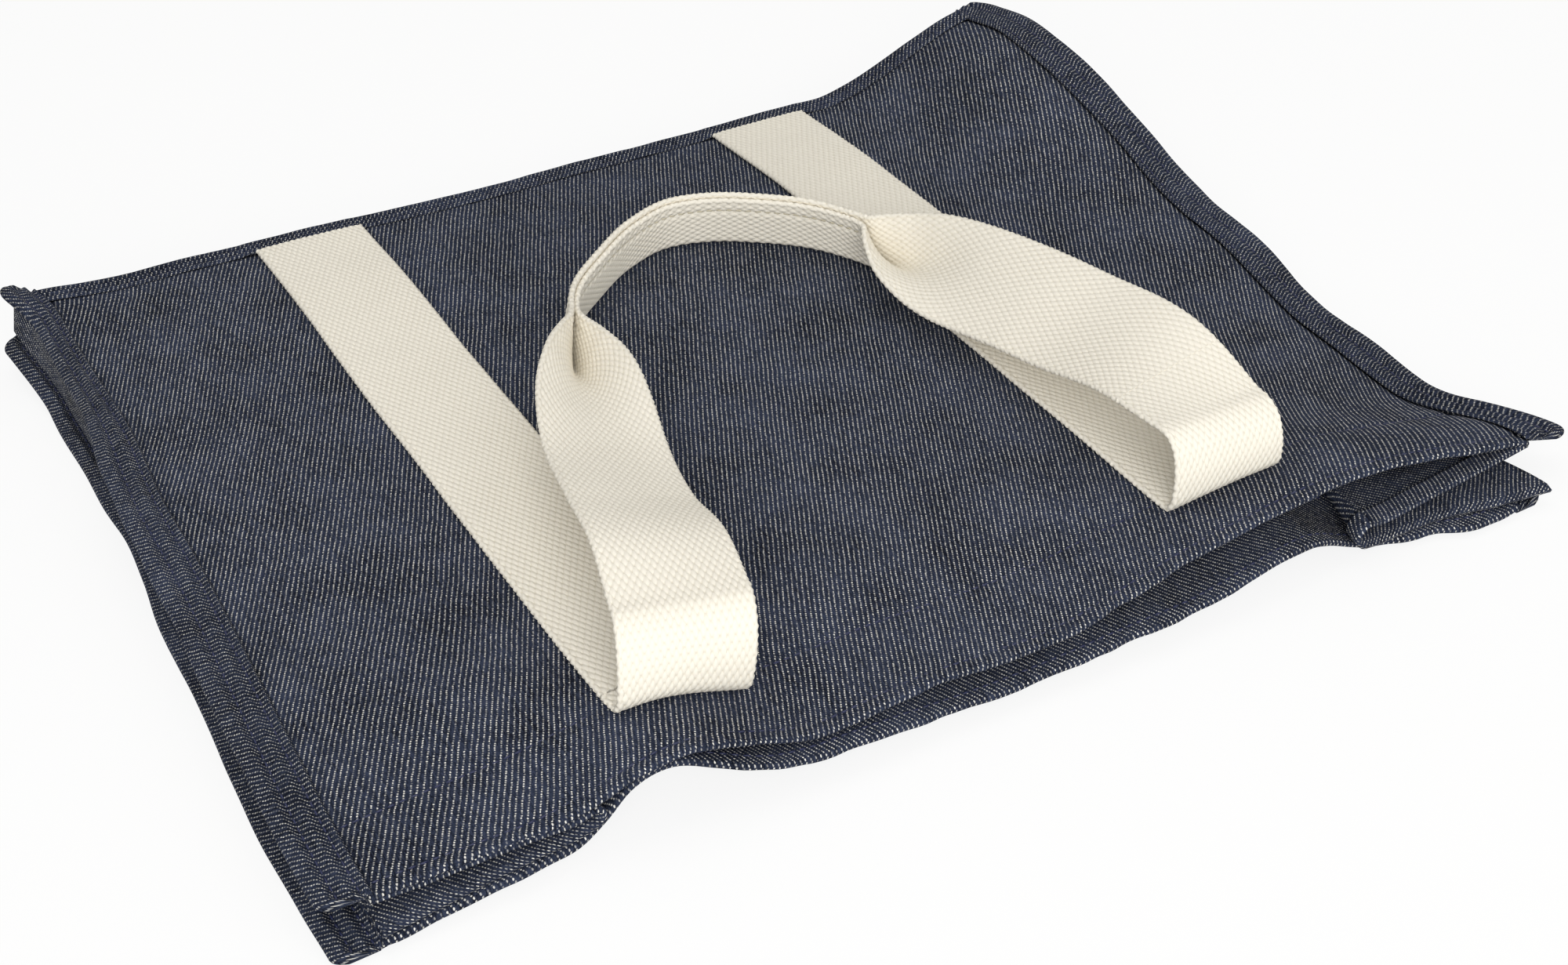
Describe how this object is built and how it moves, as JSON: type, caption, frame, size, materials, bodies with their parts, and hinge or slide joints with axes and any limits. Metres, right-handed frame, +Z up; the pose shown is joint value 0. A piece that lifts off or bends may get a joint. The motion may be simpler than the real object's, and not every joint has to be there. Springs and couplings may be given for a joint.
{
  "type": "shopping bag",
  "caption": "Denim shopping bag lying folded flat, with webbing carry handles, folded side gussets, bound seams and a magnetic snap inside the mouth.",
  "frame": {"origin": "on the floor, under the middle of the bag as it lies on its back", "axes": "+Z up, out of the front panel; -Y towards the bag's mouth; +X towards the right side as seen in the picture"},
  "size_m": [0.412, 0.323, 0.0611],
  "materials": {
    "denim": "dark indigo twill with pale flecks of weft",
    "denim_inside": "dark indigo twill, inner face",
    "binding": "dark indigo twill tape, folded over the seam and stitched in navy",
    "webbing": "thick natural cotton webbing",
    "snap_metal": "nickel-plated pressed steel",
    "magnet": "dark ferrite"
  },
  "bodies": {
    "back": {"back_panel": "denim", "back_hem": "denim_inside", "base_panel": "denim_inside", "back_left_binding": "binding", "back_right_binding": "binding", "back_base_binding": "binding", "left_gusset_tuck": "denim_inside", "right_gusset_tuck": "denim_inside", "back_left_leg": "webbing", "back_right_leg": "webbing", "snap_stud": "snap_metal"},
    "front": {"front_panel": "denim", "front_hem": "denim_inside", "front_left_binding": "binding", "front_right_binding": "binding", "front_base_binding": "binding", "front_left_leg": "webbing", "front_right_leg": "webbing", "snap_socket": "snap_metal", "snap_magnet": "magnet"},
    "left_gusset_top": {"left_gusset_upper": "denim_inside"},
    "left_gusset_bottom": {"left_gusset_lower": "denim_inside"},
    "right_gusset_top": {"right_gusset_upper": "denim_inside"},
    "right_gusset_bottom": {"right_gusset_lower": "denim_inside"},
    "front_handle": {"front_left_turn": "webbing", "front_right_turn": "webbing", "front_left_run": "webbing", "front_right_run": "webbing", "front_grip": "webbing"},
    "back_handle": {"back_left_turn": "webbing", "back_right_turn": "webbing", "back_left_run": "webbing", "back_right_run": "webbing", "back_grip": "webbing"}
  },
  "joints": [
    {"name": "mouth_open", "type": "hinge", "parent": "back", "child": "front", "pos_m": [0, 0.1615, 0.014], "axis": [-1, 0, 0], "range_deg": [0, 15], "deforming": ["left_gusset_tuck", "right_gusset_tuck"]},
    {"name": "left_seam_fold", "type": "hinge", "parent": "front", "child": "left_gusset_top", "pos_m": [-0.1877, -0.04, 0.0126], "axis": [0, 0.9994, 0.035], "range_deg": [0, 50]},
    {"name": "left_gusset_fold", "type": "hinge", "parent": "left_gusset_top", "child": "left_gusset_bottom", "pos_m": [-0.1511, -0.04, 0.0141], "axis": [-0.1752, 0.9845, 0.0108], "range_deg": [-86, 0]},
    {"name": "right_seam_fold", "type": "hinge", "parent": "front", "child": "right_gusset_top", "pos_m": [0.1854, -0.04, 0.0102], "axis": [0, 0.9996, 0.03], "range_deg": [-50, 0]},
    {"name": "right_gusset_fold", "type": "hinge", "parent": "right_gusset_top", "child": "right_gusset_bottom", "pos_m": [0.1496, -0.04, 0.0129], "axis": [0.1809, 0.9833, 0.0187], "range_deg": [0, 86]},
    {"name": "front_handle_swing", "type": "hinge", "parent": "front", "child": "front_handle", "pos_m": [0, -0.1245, 0.0375], "axis": [1, 0, 0], "range_deg": [0, 140], "deforming": ["front_left_turn", "front_right_turn"]},
    {"name": "back_handle_swing", "type": "hinge", "parent": "back", "child": "back_handle", "pos_m": [0, -0.1245, 0.004], "axis": [-1, 0, 0], "range_deg": [0, 165], "deforming": ["back_left_turn", "back_right_turn"]}
  ],
  "couplings": [
    {"joint": "left_seam_fold", "follows": "mouth_open", "ratio": 3.3},
    {"joint": "left_gusset_fold", "follows": "mouth_open", "ratio": -5.7},
    {"joint": "right_seam_fold", "follows": "mouth_open", "ratio": -3.3},
    {"joint": "right_gusset_fold", "follows": "mouth_open", "ratio": 5.6}
  ]
}
